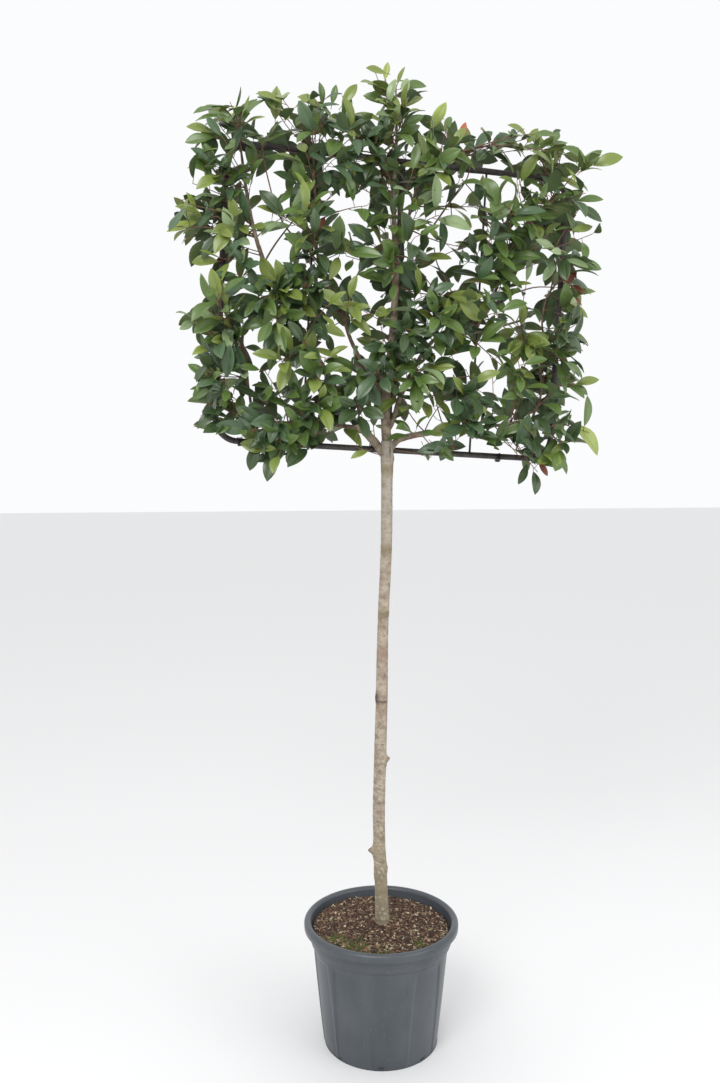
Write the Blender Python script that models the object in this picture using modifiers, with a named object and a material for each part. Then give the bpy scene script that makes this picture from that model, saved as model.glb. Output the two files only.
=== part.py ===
"""A potted red robin photinia, grown as a standard and trained flat on a tube frame, at its real size.

Units are metres, +Z is up, +X runs to the right along the trained panel and -Y is its front.
The origin is the middle of the pot's flat underside.
"""

import math
from typing import NamedTuple

import bmesh
import bpy
from mathutils import Vector, noise

# Clearance between pieces that touch
TOUCH = 0.0003

# Pot: a 30 litre nursery container, 400 mm across its rim
POT_HEIGHT = 0.323
POT_FOOT_RADIUS = 0.149
POT_WALL_TOP_RADIUS = 0.1765
POT_WALL_TOP = 0.264
POT_COLLAR_RADIUS = 0.181
POT_COLLAR_LOW = 0.268
POT_LIP_RADIUS = 0.200
POT_LIP_LOW = 0.302
POT_MOUTH_RADIUS = 0.181
POT_SHEET = 0.0040
POT_FLOOR = 0.0050
POT_SIDES = 28

# Potting soil, heaped a little round the stem
SOIL_MIDDLE = 0.3065
SOIL_EDGE = 0.2985
SOIL_FLAT_RADIUS = 0.030

# Clear stem: where its middle runs (x, z) and how thick it is there
TRUNK_STATIONS = (
    (0.0025, 0.3068, 0.041),
    (0.0025, 0.318, 0.0385),
    (0.0015, 0.360, 0.0355),
    (-0.0005, 0.420, 0.033),
    (-0.0050, 0.520, 0.031),
    (-0.0060, 0.620, 0.0305),
    (-0.0030, 0.760, 0.0310),
    (0.0005, 0.900, 0.0295),
    (0.0035, 1.090, 0.0285),
    (0.0115, 1.290, 0.0280),
    (0.0130, 1.450, 0.0285),
    (0.0130, 1.510, 0.0320),
    (0.0130, 1.556, 0.0320),
)
TRUNK_RESOLUTION = 3
FORK_RADIUS = 0.016

# Trellis frame: a rounded rectangle of bent tube with a middle tube and two thin rods, leaning a little
TUBE = 0.015
MIDDLE_TUBE = 0.014
ROD = 0.0055
FRAME_WIDTH = 0.865
FRAME_HEIGHT = 0.713
FRAME_CORNER = 0.055
FRAME_BEND_STEPS = 2
FRAME_MIDDLE = (0.0378, 1.890)
FRAME_LEAN = math.radians(3.1)
FRAME_FRONT = FORK_RADIUS + TOUCH
FRAME_DEPTH = FRAME_FRONT + TUBE / 2

# Foliage: how deep the panel is, and how uneven each mass of it is
FOLIAGE_MIDDLE = -0.014
FOLIAGE_CUTS = 2
FOLIAGE_BUMPS = 0.26
FOLIAGE_BUMP_SCALE = 1.8
FOLIAGE_PARTING = 0.0006

# Boughs: the distance between the rings of a bough, and the thickness above which its bark is pale
LIMB_STEP = 0.085
STOUT_LIMB = 0.014


class Limb(NamedTuple):
    """A tapering bough: the limbs it grows from, the (x, z) points it passes, and its two diameters."""

    name: str
    grows_from: tuple
    course: tuple
    base: float
    tip: float


LIMBS = (
    Limb("leader", ("trunk",), (
        (0.013, 1.548), (0.010, 1.620), (0.015, 1.700), (0.026, 1.800), (0.033, 1.900), (0.036, 2.000),
        (0.032, 2.080), (0.031, 2.160), (0.034, 2.245), (0.038, 2.310), (0.036, 2.425),
    ), 0.0250, 0.0036),
    Limb("left_bough", ("trunk", "leader"), (
        (0.008, 1.520), (-0.020, 1.556), (-0.055, 1.592), (-0.092, 1.630), (-0.118, 1.685), (-0.155, 1.748),
        (-0.215, 1.830), (-0.253, 1.900), (-0.290, 1.985), (-0.316, 2.070), (-0.332, 2.160), (-0.345, 2.262),
    ), 0.0220, 0.0050),
    Limb("right_bough", ("trunk", "leader"), (
        (0.013, 1.578), (0.034, 1.618), (0.048, 1.666), (0.080, 1.730), (0.112, 1.783), (0.145, 1.815),
        (0.200, 1.824), (0.280, 1.840), (0.370, 1.866),
    ), 0.0150, 0.0050),
    Limb("low_right_bough", ("trunk", "leader"), (
        (0.016, 1.528), (0.046, 1.560), (0.110, 1.575), (0.180, 1.583), (0.250, 1.592), (0.320, 1.600),
        (0.425, 1.622),
    ), 0.0180, 0.0045),
    Limb("low_left_bough", ("left_bough",), (
        (-0.050, 1.587), (-0.105, 1.594), (-0.190, 1.603), (-0.260, 1.597), (-0.320, 1.605), (-0.365, 1.622),
        (-0.415, 1.645),
    ), 0.0125, 0.0045),
    Limb("inner_left_bough", ("leader",), (
        (0.012, 1.672), (-0.020, 1.712), (-0.052, 1.757), (-0.077, 1.805), (-0.096, 1.858), (-0.122, 1.908),
        (-0.150, 1.970), (-0.163, 2.040), (-0.163, 2.120), (-0.168, 2.200), (-0.167, 2.262),
    ), 0.0115, 0.0045),
    Limb("upper_right_bough", ("leader",), (
        (0.034, 2.035), (0.064, 2.098), (0.080, 2.148), (0.092, 2.187), (0.122, 2.216), (0.156, 2.242),
        (0.192, 2.268),
    ), 0.0080, 0.0045),
    Limb("right_riser", ("right_bough",), (
        (0.236, 1.830), (0.262, 1.868), (0.285, 1.902), (0.303, 1.955), (0.322, 2.012), (0.347, 2.066),
        (0.385, 2.106), (0.425, 2.140), (0.462, 2.190),
    ), 0.0090, 0.0045),
    Limb("left_riser", ("low_left_bough",), (
        (-0.318, 1.604), (-0.330, 1.680), (-0.336, 1.740), (-0.342, 1.784), (-0.385, 1.806), (-0.425, 1.824),
        (-0.458, 1.840),
    ), 0.0070, 0.0040),
    Limb("right_edge_bough", ("low_right_bough",), (
        (0.398, 1.616), (0.422, 1.680), (0.419, 1.750), (0.429, 1.805), (0.422, 1.860), (0.430, 1.915),
        (0.447, 1.955), (0.452, 2.050),
    ), 0.0065, 0.0040),
)


class Mass(NamedTuple):
    """A mass of foliage: its middle (x, z) on the panel and its half width, half height and half depth."""

    name: str
    x: float
    z: float
    half_width: float
    half_height: float
    half_depth: float


MASSES = (
    Mass("tip", 0.032, 2.398, 0.078, 0.074, 0.070),
    Mass("top_far_left", -0.378, 2.272, 0.090, 0.098, 0.100),
    Mass("top_left", -0.180, 2.282, 0.118, 0.108, 0.115),
    Mass("top_middle", 0.018, 2.235, 0.095, 0.095, 0.110),
    Mass("top_right", 0.192, 2.265, 0.102, 0.086, 0.110),
    Mass("top_far_right", 0.408, 2.262, 0.128, 0.086, 0.105),
    Mass("upper_far_left", -0.424, 2.090, 0.104, 0.104, 0.105),
    Mass("upper_left", -0.130, 2.075, 0.106, 0.110, 0.120),
    Mass("upper_middle", 0.042, 2.045, 0.092, 0.112, 0.125),
    Mass("upper_right", 0.235, 2.080, 0.108, 0.112, 0.120),
    Mass("upper_far_right", 0.448, 2.075, 0.118, 0.112, 0.115),
    Mass("middle_far_left", -0.350, 1.878, 0.122, 0.110, 0.115),
    Mass("middle_left", -0.140, 1.875, 0.110, 0.108, 0.125),
    Mass("middle", 0.050, 1.855, 0.095, 0.110, 0.130),
    Mass("middle_right", 0.228, 1.895, 0.108, 0.108, 0.125),
    Mass("middle_far_right", 0.430, 1.868, 0.112, 0.108, 0.115),
    Mass("low_far_left", -0.392, 1.705, 0.096, 0.100, 0.110),
    Mass("low_left", -0.205, 1.705, 0.110, 0.092, 0.125),
    Mass("low_middle", -0.012, 1.690, 0.094, 0.092, 0.125),
    Mass("low_right", 0.175, 1.700, 0.110, 0.086, 0.125),
    Mass("low_far_right", 0.412, 1.725, 0.124, 0.092, 0.115),
    Mass("foot_far_left", -0.330, 1.558, 0.132, 0.092, 0.105),
    Mass("foot_left", -0.128, 1.588, 0.090, 0.066, 0.110),
    Mass("foot_right", 0.170, 1.578, 0.122, 0.070, 0.115),
    Mass("foot_far_right", 0.418, 1.566, 0.128, 0.088, 0.110),
)


def start_clean():
    """Empties the scene and makes the plant's collection and the one for cutters."""
    for old in list(bpy.data.objects):
        bpy.data.objects.remove(old, do_unlink=True)
    plant = bpy.data.collections.new("potted_photinia")
    cutters = bpy.data.collections.new("cutters")
    for collection in (plant, cutters):
        bpy.context.scene.collection.children.link(collection)
    return plant, cutters


PLANT, CUTTERS = start_clean()


def finish(name, colour, roughness, metallic=0.0):
    """A plain surface finish."""
    made = bpy.data.materials.new(name)
    made.use_nodes = True
    shader = made.node_tree.nodes["Principled BSDF"]
    shader.inputs["Base Color"].default_value = (*colour, 1.0)
    shader.inputs["Roughness"].default_value = roughness
    shader.inputs["Metallic"].default_value = metallic
    made.diffuse_color = (*colour, 1.0)
    return made


SLATE_PLASTIC = finish("slate_plastic", (0.060, 0.075, 0.090), 0.45)
BARK_MULCH = finish("bark_mulch", (0.095, 0.055, 0.035), 0.90)
PALE_BARK = finish("pale_bark", (0.42, 0.36, 0.27), 0.80)
BROWN_BARK = finish("brown_bark", (0.20, 0.14, 0.10), 0.75)
FRAME_PAINT = finish("frame_paint", (0.045, 0.038, 0.036), 0.55, 0.3)
GLOSSY_LEAF = finish("glossy_leaf", (0.045, 0.110, 0.030), 0.40)


def put(obj, material, collection=PLANT):
    """Links an object and gives it its finish."""
    collection.objects.link(obj)
    obj.data.materials.append(material)
    return obj


def turned(name, profile, sides, material):
    """A closed turned piece: its (radius, height) profile starts and ends on the axis, outer side downwards."""
    mesh = bpy.data.meshes.new(name)
    points = [(radius, 0.0, height) for radius, height in profile]
    mesh.from_pydata(points, [(i, i + 1) for i in range(len(points) - 1)], [])
    piece = put(bpy.data.objects.new(name, mesh), material)
    screw = piece.modifiers.new("turn", "SCREW")
    screw.axis = "Z"
    screw.steps = sides
    screw.render_steps = sides
    screw.use_merge_vertices = True
    screw.merge_threshold = 0.0001
    return piece


def inner_wall(height):
    """Inside radius of the pot's wall at a height above its floor."""
    share = min(height, POT_WALL_TOP) / POT_WALL_TOP
    return POT_FOOT_RADIUS + (POT_WALL_TOP_RADIUS - POT_FOOT_RADIUS) * share - POT_SHEET


def make_pot():
    """The container: flat floor, sloping wall, short collar and a rolled lip."""
    lip_round = 0.006
    profile = [
        (0.0, POT_FLOOR),
        (inner_wall(POT_FLOOR), POT_FLOOR),
        (inner_wall(POT_WALL_TOP), POT_WALL_TOP),
        (POT_MOUTH_RADIUS - 0.002, POT_LIP_LOW),
        (POT_MOUTH_RADIUS, POT_HEIGHT - lip_round),
        (POT_MOUTH_RADIUS + lip_round, POT_HEIGHT),
        (POT_LIP_RADIUS - lip_round, POT_HEIGHT),
        (POT_LIP_RADIUS, POT_HEIGHT - lip_round),
        (POT_LIP_RADIUS, POT_LIP_LOW),
        (POT_COLLAR_RADIUS + POT_SHEET, POT_LIP_LOW),
        (POT_COLLAR_RADIUS, POT_COLLAR_LOW),
        (POT_WALL_TOP_RADIUS, POT_WALL_TOP),
        (POT_FOOT_RADIUS, 0.0),
        (0.0, 0.0),
    ]
    return turned("pot", profile, POT_SIDES, SLATE_PLASTIC)


def make_soil():
    """The soil fills the pot to just under its rim, with a level spot in the middle for the stem."""
    floor = POT_FLOOR + TOUCH
    facet_gap = 0.0006
    profile = [
        (0.0, SOIL_MIDDLE),
        (SOIL_FLAT_RADIUS, SOIL_MIDDLE),
        (0.55 * POT_MOUTH_RADIUS, SOIL_MIDDLE - 0.002),
        (inner_wall(POT_WALL_TOP) - facet_gap, SOIL_EDGE),
        (inner_wall(POT_WALL_TOP) - facet_gap, POT_WALL_TOP),
        (inner_wall(floor) - facet_gap, floor),
        (0.0, floor),
    ]
    return turned("soil", profile, POT_SIDES, BARK_MULCH)


def smooth_course(stations, step):
    """Points about step apart on a curve through the stations, by the Catmull-Rom rule in every coordinate."""
    points = [Vector(station) for station in stations]
    run = [2 * points[0] - points[1], *points, 2 * points[-1] - points[-2]]
    course = []
    for before, start, end, after in zip(run, run[1:], run[2:], run[3:]):
        pieces = max(1, round((end - start).length / step))
        for i in range(pieces):
            t = i / pieces
            course.append(0.5 * (
                2 * start
                + (end - before) * t
                + (2 * before - 5 * start + 4 * end - after) * t**2
                + (3 * start - 3 * end + after - before) * t**3
            ))
    course.append(points[-1])
    return course


def tube(name, points, radii, material, collection=PLANT, resolution=2):
    """A round bar along the points with a radius at each, as a closed mesh.

    A resolution of 2 gives it 8 sides, and each one more gives it 2 more.
    """
    data = bpy.data.curves.new(name, "CURVE")
    data.dimensions = "3D"
    data.bevel_depth = 1.0
    data.bevel_resolution = resolution
    data.use_fill_caps = True
    spline = data.splines.new("POLY")
    spline.points.add(len(points) - 1)
    for knot, point, radius in zip(spline.points, points, radii):
        knot.co = (*point, 1.0)
        knot.radius = radius
    guide = bpy.data.objects.new(name + "_guide", data)
    collection.objects.link(guide)
    bpy.context.view_layer.update()
    mesh = bpy.data.meshes.new_from_object(guide.evaluated_get(bpy.context.evaluated_depsgraph_get()))
    bpy.data.objects.remove(guide, do_unlink=True)
    welded = bmesh.new()
    welded.from_mesh(mesh)
    bmesh.ops.remove_doubles(welded, verts=welded.verts, dist=0.00001)
    bmesh.ops.recalc_face_normals(welded, faces=welded.faces)
    bmesh.ops.triangulate(welded, faces=welded.faces)
    welded.to_mesh(mesh)
    welded.free()
    mesh.name = name
    piece = put(bpy.data.objects.new(name, mesh), material, collection)
    mesh.shade_smooth()
    mesh.set_sharp_from_angle(angle=math.radians(40))
    return piece


def cutter_of(name, points, radii, resolution=2):
    """The same bar a touch thicker and longer, which makes room for it in its neighbours."""
    longer = list(points)
    longer[0] = points[0] + (points[0] - points[1]).normalized() * TOUCH
    longer[-1] = points[-1] + (points[-1] - points[-2]).normalized() * TOUCH
    wider = [radius + TOUCH for radius in radii]
    cutter = tube("cut_" + name, longer, wider, SLATE_PLASTIC, CUTTERS, resolution)
    cutter.hide_render = True
    cutter.display_type = "WIRE"
    return cutter


def box_of(obj):
    """Lowest and highest corners of a mesh whose object isn't moved."""
    corners = [Vector(corner) for corner in obj.bound_box]
    low = Vector([min(corner[i] for corner in corners) for i in range(3)])
    high = Vector([max(corner[i] for corner in corners) for i in range(3)])
    return low, high


def near(first, second):
    """Whether two objects' boxes meet."""
    (low_a, high_a), (low_b, high_b) = box_of(first), box_of(second)
    return all(low_a[i] <= high_b[i] and low_b[i] <= high_a[i] for i in range(3))


def islands(body):
    """The connected groups of faces of a bmesh, the largest first."""
    left = set(body.faces)
    groups = []
    while left:
        group = set()
        edge = [left.pop()]
        while edge:
            face = edge.pop()
            group.add(face)
            for side in face.edges:
                for other in side.link_faces:
                    if other in left:
                        left.remove(other)
                        edge.append(other)
        groups.append(group)
    return sorted(groups, key=len, reverse=True)


def cut_round(piece, cutters):
    """Takes the cutters out of a piece and keeps its largest part, so that it stays one body."""
    used = [cutter for cutter in cutters if near(piece, cutter)]
    if not used:
        return
    for cutter in used:
        cut = piece.modifiers.new("round_" + cutter.name, "BOOLEAN")
        cut.operation = "DIFFERENCE"
        cut.solver = "EXACT"
        cut.object = cutter
    bpy.context.view_layer.update()
    mesh = bpy.data.meshes.new_from_object(piece.evaluated_get(bpy.context.evaluated_depsgraph_get()))
    piece.modifiers.clear()
    body = bmesh.new()
    body.from_mesh(mesh)
    bmesh.ops.remove_doubles(body, verts=body.verts, dist=0.000001)
    for group in islands(body)[1:]:
        bmesh.ops.delete(body, geom=list(group), context="FACES")
    body.to_mesh(mesh)
    body.free()
    piece.data = mesh
    mesh.name = piece.name


def on_frame(along, up):
    """A point of the frame's plane, from its middle: along its width, then up its height."""
    x = FRAME_MIDDLE[0] + along * math.cos(FRAME_LEAN) + up * math.sin(FRAME_LEAN)
    z = FRAME_MIDDLE[1] - along * math.sin(FRAME_LEAN) + up * math.cos(FRAME_LEAN)
    return Vector((x, FRAME_DEPTH, z))


def frame_side(side, length, reach):
    """Points along one side of the frame, turned side * 90 degrees, with half of the bend at each end.

    The bend's points are the corners of the many-sided figure drawn round its arc, so the tube's ends are mitred.
    """
    straight = length / 2 - FRAME_CORNER
    bend = [(45.0, FRAME_CORNER)]
    for i in range(FRAME_BEND_STEPS, 0, -1):
        half_step = 22.5 / FRAME_BEND_STEPS
        bend.append(((2 * i - 1) * half_step, FRAME_CORNER / math.cos(math.radians(half_step))))
    points = [
        (-straight - radius * math.sin(math.radians(angle)),
         reach - FRAME_CORNER + radius * math.cos(math.radians(angle)))
        for angle, radius in bend
    ]
    points += [(-u, v) for u, v in reversed(points)]
    turn = math.radians(90) * side
    return [
        on_frame(u * math.cos(turn) + v * math.sin(turn), v * math.cos(turn) - u * math.sin(turn))
        for u, v in points
    ]


def shortened(points, gap):
    """The same run of points with gap taken off each end."""
    first = points[0] + (points[1] - points[0]).normalized() * gap
    last = points[-1] + (points[-2] - points[-1]).normalized() * gap
    return [first, *points[1:-1], last]


def make_frame():
    """The four sides of the bent tube, the middle tube and the two rods. It gives their cutters."""
    sides = (
        ("frame_top", 0, FRAME_WIDTH, FRAME_HEIGHT),
        ("frame_right", 1, FRAME_HEIGHT, FRAME_WIDTH),
        ("frame_bottom", 2, FRAME_WIDTH, FRAME_HEIGHT),
        ("frame_left", 3, FRAME_HEIGHT, FRAME_WIDTH),
    )
    runs = [
        (name, shortened(frame_side(side, length, across / 2), TOUCH / 2), TUBE / 2, 2)
        for name, side, length, across in sides
    ]
    upright = FRAME_HEIGHT / 2 - TUBE / 2 - TOUCH
    quarter = FRAME_WIDTH / 4
    for name, along, width in (
        ("frame_middle", 0.0, MIDDLE_TUBE),
        ("frame_rod_left", -quarter, ROD),
        ("frame_rod_right", quarter, ROD),
    ):
        resolution = 2 if width > STOUT_LIMB / 2 else 1
        runs.append((name, [on_frame(along, -upright), on_frame(along, upright)], width / 2, resolution))
    cutters = []
    for name, points, radius, resolution in runs:
        radii = [radius] * len(points)
        tube(name, points, radii, FRAME_PAINT, resolution=resolution)
        cutters.append(cutter_of(name, points, radii, resolution))
    return cutters


def make_trunk():
    """The clear stem, from its flat cut at the soil to the fork."""
    course = smooth_course([(x, width / 2, z) for x, z, width in TRUNK_STATIONS], 0.09)
    points = [Vector((point.x, 0.0, point.z)) for point in course]
    radii = [point.y for point in course]
    tube("trunk", points, radii, PALE_BARK, resolution=TRUNK_RESOLUTION)
    return cutter_of("trunk", points, radii, TRUNK_RESOLUTION)


def make_limb(limb, cutters):
    """A bough laid against the front of the frame, so its middle stands off the frame by its own radius.

    Its radius falls from base to tip as the share of its length that is left, to the power 0.8.
    """
    course = smooth_course([(x, 0.0, z) for x, z in limb.course], LIMB_STEP)
    last = len(course) - 1
    points, radii = [], []
    for i, point in enumerate(course):
        radius = (limb.tip + (limb.base - limb.tip) * (1 - i / last) ** 0.8) / 2
        radii.append(radius)
        points.append(Vector((point.x, FRAME_FRONT - TOUCH - radius, point.z)))
    stout = limb.base > STOUT_LIMB
    resolution = 2 if stout else 1
    piece = tube(limb.name, points, radii, PALE_BARK if stout else BROWN_BARK, resolution=resolution)
    cut_round(piece, [cutters[name] for name in limb.grows_from])
    cutters[limb.name] = cutter_of(limb.name, points, radii, resolution)


def middle_of(mass):
    """The middle of a mass of foliage."""
    return Vector((mass.x, FOLIAGE_MIDDLE, mass.z))


def make_mass(mass, cutters):
    """A closed uneven mass of foliage.

    A vertex in direction d lies at the ellipsoid of the half sizes, times one plus two scales of noise, and no
    further than the plane that parts it from each other mass. That plane cuts the line between the two middles
    in the ratio of their sizes. Then the mass is cut round the limbs and the frame.
    """
    middle = middle_of(mass)
    half = (mass.half_width, mass.half_depth, mass.half_height)
    body = bmesh.new()
    bmesh.ops.create_cube(body, size=1.0)
    bmesh.ops.subdivide_edges(body, edges=body.edges[:], cuts=FOLIAGE_CUTS, use_grid_fill=True)
    for vertex in body.verts:
        direction = vertex.co.normalized()
        reach = 1 / Vector([direction[i] / half[i] for i in range(3)]).length
        coarse = noise.noise(direction * FOLIAGE_BUMP_SCALE + middle * 7)
        fine = noise.noise(direction * FOLIAGE_BUMP_SCALE * 2.3 + middle * 11)
        reach *= 1 + FOLIAGE_BUMPS * (coarse + 0.5 * fine)
        for other in MASSES:
            away = middle_of(other) - middle
            facing = away.normalized().dot(direction)
            if other != mass and facing > 0:
                size, other_size = mass.half_width + mass.half_height, other.half_width + other.half_height
                parting = away.length * size / (size + other_size) - FOLIAGE_PARTING / 2
                reach = min(reach, parting / facing)
        vertex.co = middle + direction * reach
    bmesh.ops.triangulate(body, faces=body.faces)
    name = "foliage_" + mass.name
    mesh = bpy.data.meshes.new(name)
    body.to_mesh(mesh)
    body.free()
    mesh.shade_smooth()
    piece = put(bpy.data.objects.new(name, mesh), GLOSSY_LEAF)
    bpy.context.view_layer.update()
    cut_round(piece, cutters)


def main():
    make_pot()
    make_soil()
    frame_cutters = make_frame()
    cutters = {"trunk": make_trunk()}
    for limb in LIMBS:
        make_limb(limb, cutters)
    for mass in MASSES:
        make_mass(mass, [*frame_cutters, *cutters.values()])


main()
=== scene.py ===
"""Looks of a potted photinia: a clear stem in a nursery pot, its boughs trained flat on a tube frame.

Lengths are metres, and millimetres in the six tables of points. +Z is up, +X runs to the right along the
trained panel, and -Y is its front.
"""

import math

import bpy
import numpy as np
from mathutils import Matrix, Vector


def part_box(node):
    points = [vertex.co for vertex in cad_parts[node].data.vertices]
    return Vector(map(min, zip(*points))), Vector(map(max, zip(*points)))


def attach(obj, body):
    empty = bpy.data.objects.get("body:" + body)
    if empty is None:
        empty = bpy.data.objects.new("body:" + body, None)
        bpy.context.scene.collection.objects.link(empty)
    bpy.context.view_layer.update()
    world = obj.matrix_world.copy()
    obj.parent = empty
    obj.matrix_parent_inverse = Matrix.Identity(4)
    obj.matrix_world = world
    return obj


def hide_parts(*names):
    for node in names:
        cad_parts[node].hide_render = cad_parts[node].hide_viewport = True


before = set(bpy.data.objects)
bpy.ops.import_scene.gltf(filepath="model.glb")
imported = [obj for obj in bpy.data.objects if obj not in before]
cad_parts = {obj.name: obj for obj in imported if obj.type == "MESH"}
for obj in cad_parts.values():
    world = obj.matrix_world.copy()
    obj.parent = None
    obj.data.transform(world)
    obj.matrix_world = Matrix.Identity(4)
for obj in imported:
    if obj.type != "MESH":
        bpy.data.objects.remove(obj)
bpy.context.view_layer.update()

# Camera: a 32 mm lens a little left of the plant, looking slightly down
CAMERA_PLACE = (-0.485, -2.371, 1.492)
CAMERA_TURN = math.radians(10.26)
CAMERA_DIP = math.radians(4.45)
CAMERA_LENS = 31.98

UP = np.array((0.0, 0.0, 1.0))

# Trellis frame: the same sizes as its solids
TUBE = 0.015
MIDDLE_TUBE = 0.014
ROD = 0.0055
FRAME_WIDTH = 0.865
FRAME_HEIGHT = 0.713
FRAME_CORNER = 0.055
FRAME_MIDDLE = (0.0378, 1.89)
FRAME_LEAN = math.radians(3.1)
FRAME_FRONT = 0.0163
FRAME_DEPTH = FRAME_FRONT + TUBE / 2

# Clear stem: its middle (x), height and thickness
TRUNK_STATIONS = (
    (2.5, 300, 43), (2.5, 310, 41), (2.5, 320, 38.5), (1.5, 360, 35.5), (-0.5, 420, 33), (-3.5, 485, 32.5),
    (-5, 520, 30.5), (-6, 620, 30.5), (-3, 760, 31.2), (0.5, 900, 29.5), (3.5, 1090, 28.5), (11.5, 1290, 28),
    (13, 1450, 28.5), (13, 1515, 31.5), (13, 1556, 29),
)

# Boughs: the (x, z) points of each, and its thickness at the base and the tip
LIMBS = {
    "leader": ((
        (13, 1548), (10, 1620), (15, 1700), (26, 1800), (33, 1900), (36, 2000), (32, 2080), (31, 2160),
        (34, 2245), (38, 2310), (36, 2425),
    ), 25, 3.6),
    "left_bough": ((
        (8, 1520), (-20, 1556), (-55, 1592), (-92, 1630), (-118, 1685), (-155, 1748), (-215, 1830),
        (-253, 1900), (-290, 1985), (-316, 2070), (-332, 2160), (-345, 2262),
    ), 22, 5),
    "right_bough": ((
        (13, 1578), (34, 1618), (48, 1666), (80, 1730), (112, 1783), (145, 1815), (200, 1824), (280, 1840),
        (370, 1866),
    ), 15, 5),
    "low_right_bough": ((
        (16, 1528), (46, 1560), (110, 1575), (180, 1583), (250, 1592), (320, 1600), (425, 1622),
    ), 18, 4.5),
    "low_left_bough": ((
        (-50, 1587), (-105, 1594), (-190, 1603), (-260, 1597), (-320, 1605), (-365, 1622), (-415, 1645),
    ), 12.5, 4.5),
    "inner_left_bough": ((
        (12, 1672), (-20, 1712), (-52, 1757), (-77, 1805), (-96, 1858), (-122, 1908), (-150, 1970),
        (-163, 2040), (-163, 2120), (-168, 2200), (-167, 2262),
    ), 11.5, 4.5),
    "upper_right_bough": ((
        (34, 2035), (64, 2098), (80, 2148), (92, 2187), (122, 2216), (156, 2242), (192, 2268),
    ), 8, 4.5),
    "right_riser": ((
        (236, 1830), (262, 1868), (285, 1902), (303, 1955), (322, 2012), (347, 2066), (385, 2106),
        (425, 2140), (462, 2190),
    ), 9, 4.5),
    "left_riser": ((
        (-318, 1604), (-330, 1680), (-336, 1740), (-342, 1784), (-385, 1806), (-425, 1824), (-458, 1840),
    ), 7, 4),
    "right_edge_bough": ((
        (398, 1616), (422, 1680), (419, 1750), (429, 1805), (422, 1860), (430, 1915), (447, 1955),
        (452, 2050),
    ), 6.5, 4),
}

# Thin bare shoots that show between the leaves: the (x, z) points of each
BARE_SHOOTS = (
    ((190, 1850), (188, 1890), (168, 1945), (140, 1992), (130, 2035)),
    ((105, 2055), (130, 2090), (172, 2148), (212, 2202), (226, 2262)),
    ((-96, 1860), (-118, 1880), (-88, 1915), (-60, 1968), (-48, 2000)),
    ((-290, 1985), (-262, 2030), (-215, 2090), (-170, 2135)),
    ((-160, 1990), (-190, 2020), (-250, 2085), (-283, 2190), (-296, 2270)),
    ((80, 1728), (140, 1716), (190, 1716), (240, 1722)),
    ((36, 2010), (66, 2006), (100, 1970), (126, 1938)),
    ((34, 2245), (22, 2295), (11, 2370), (7, 2430)),
    ((285, 1902), (330, 1925), (390, 1945), (440, 1948)),
    ((-402, 1800), (-440, 1822), (-470, 1836)),
    ((-375, 1980), (-377, 2050), (-400, 2085), (-435, 2075)),
    ((462, 1780), (485, 1792), (498, 1800)),
    ((430, 1690), (470, 1700), (505, 1702)),
    ((420, 1622), (450, 1610), (492, 1598)),
    ((380, 1608), (392, 1560), (394, 1500)),
    ((-320, 1605), (-305, 1570), (-296, 1535)),
)

# Outline of the leaves as the camera sees it on the panel, clockwise from the left (x, z)
OUTLINE = (
    (-470, 2310), (-485, 2240), (-470, 2180), (-510, 2120), (-530, 2030), (-450, 1980), (-470, 1965),
    (-420, 1920), (-470, 1880), (-510, 1830), (-480, 1770), (-480, 1650), (-465, 1580), (-385, 1550),
    (-345, 1480), (-290, 1450), (-215, 1500), (-190, 1530), (-90, 1535), (-80, 1500), (-30, 1530), (60, 1540),
    (95, 1510), (130, 1500), (185, 1500), (200, 1535), (340, 1530), (360, 1440), (400, 1420), (440, 1480),
    (490, 1470), (500, 1560), (565, 1500), (575, 1560), (540, 1640), (570, 1710), (535, 1760), (550, 1810),
    (530, 1860), (560, 1930), (570, 1990), (540, 2040), (575, 2110), (575, 2170), (540, 2210), (620, 2265),
    (560, 2290), (500, 2300), (470, 2340), (380, 2345), (310, 2345), (240, 2330), (160, 2380), (120, 2350),
    (115, 2420), (60, 2455), (5, 2465), (-60, 2430), (-60, 2390), (-80, 2410), (-120, 2410), (-170, 2410),
    (-215, 2380), (-260, 2395), (-340, 2385), (-400, 2370),
)

# Gaps where the background shows through, as seen on the panel: middle (x, z) and half width, half height
GAPS = (
    (-238, 2035, 30, 85), (-315, 2045, 14, 30), (-250, 1625, 20, 16), (-105, 1842, 22, 18),
    (-28, 1905, 22, 24), (-12, 1620, 10, 18), (110, 1975, 18, 24), (110, 2122, 18, 18), (160, 2065, 10, 55),
    (135, 1655, 16, 24), (200, 1760, 30, 18), (305, 1690, 24, 18), (390, 1938, 38, 36), (415, 1852, 32, 22),
    (365, 1610, 60, 24), (335, 1540, 34, 18), (-150, 2280, 40, 16), (150, 2270, 18, 18), (295, 2200, 22, 16),
    (15, 2200, 14, 12), (-290, 1960, 12, 20),
)

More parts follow.
